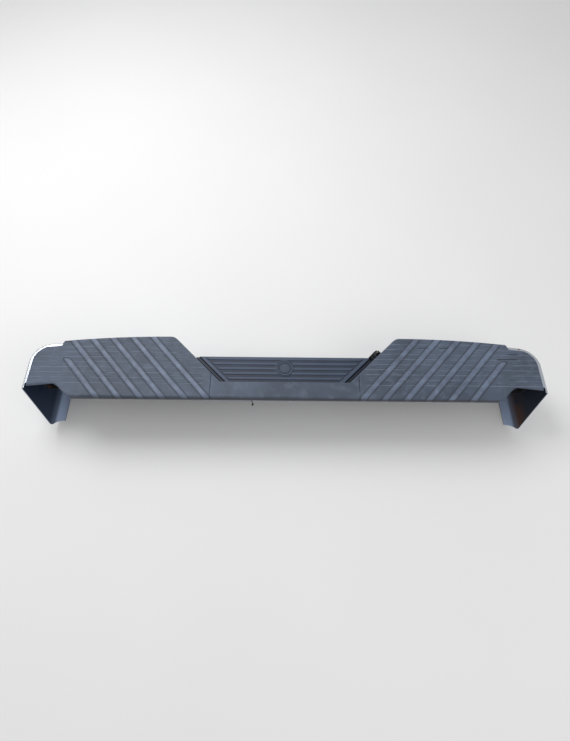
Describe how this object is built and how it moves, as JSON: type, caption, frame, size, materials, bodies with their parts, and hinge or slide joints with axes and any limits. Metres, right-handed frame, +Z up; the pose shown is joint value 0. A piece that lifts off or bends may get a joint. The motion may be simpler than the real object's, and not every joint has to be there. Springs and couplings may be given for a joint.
{
  "type": "rear step bumper",
  "caption": "Chromed wrap-round pickup rear step bumper with ribbed tread pads, a dropped centre step, a ball-hole cover and a capped trailer socket.",
  "frame": {"origin": "on the ground under the middle of the bumper's own box", "axes": "+X across the truck, +Y to the rear of the truck, +Z up"},
  "size_m": [1.6964, 0.2579, 0.2],
  "materials": {
    "chrome": "bright plating with pitting and rust",
    "tread_plastic": "faded ribbed moulding",
    "step_plastic": "dark ribbed moulding",
    "painted_steel": "black paint with rust",
    "zinc_steel": "dull zinc",
    "black_plastic": "moulded",
    "clear_lens": "clear moulded lens",
    "brass": "plain",
    "black_rubber": "flexible covering"
  },
  "bodies": {
    "bumper": {"ball_plate": "painted_steel", "ball_plate_bolts": "zinc_steel", "ball_plate_nuts": "zinc_steel", "brace_bolts": "zinc_steel", "brace_nuts": "zinc_steel", "bracket_bolts": "zinc_steel", "bracket_left": "painted_steel", "bracket_nuts": "zinc_steel", "bracket_right": "painted_steel", "centre_pad": "tread_plastic", "face_bar": "chrome", "face_bolt_nuts": "zinc_steel", "face_bolt_spacers": "zinc_steel", "face_bolts": "chrome", "harness_clips": "black_plastic", "lower_pad_clips": "black_plastic", "lower_step_pad": "step_plastic", "pigtail_connector": "black_plastic", "pigtail_wire": "black_rubber", "plate_inserts": "zinc_steel", "plate_lamp_bulb_left": "clear_lens", "plate_lamp_bulb_right": "clear_lens", "plate_lamp_holder_left": "black_plastic", "plate_lamp_holder_right": "black_plastic", "plate_lamp_housing_left": "black_plastic", "plate_lamp_housing_right": "black_plastic", "plate_lamp_lens_left": "clear_lens", "plate_lamp_lens_right": "clear_lens", "plate_lamp_screws_left": "zinc_steel", "plate_lamp_screws_right": "zinc_steel", "reinforcement_beam": "painted_steel", "socket_body": "black_plastic", "socket_cap_spring": "zinc_steel", "socket_contacts": "brass", "socket_hinge_pin": "zinc_steel", "socket_screws": "zinc_steel", "upper_pad_clips": "black_plastic", "upper_pad_left": "tread_plastic", "upper_pad_right": "tread_plastic", "wing_bolt_nuts": "zinc_steel", "wing_bolts": "chrome", "wing_brace_left": "painted_steel", "wing_brace_right": "painted_steel", "wiring_harness": "black_rubber"},
    "socket_cap": {"socket_cap": "black_plastic"},
    "ball_hole_cover": {"ball_hole_cover": "step_plastic"}
  },
  "joints": [
    {"name": "socket_cap_hinge", "type": "hinge", "parent": "bumper", "child": "socket_cap", "pos_m": [0.31158, 0.09022, 0.16124], "axis": [0.7007, 0.7135, 0], "range_deg": [0, 105], "stiffness_Nm_per_rad": 0.02, "springref_deg": -17.19},
    {"name": "ball_cover_lift", "type": "slide", "parent": "bumper", "child": "ball_hole_cover", "axis": [0, 0, 1], "range_m": [0, 0.08]}
  ]
}
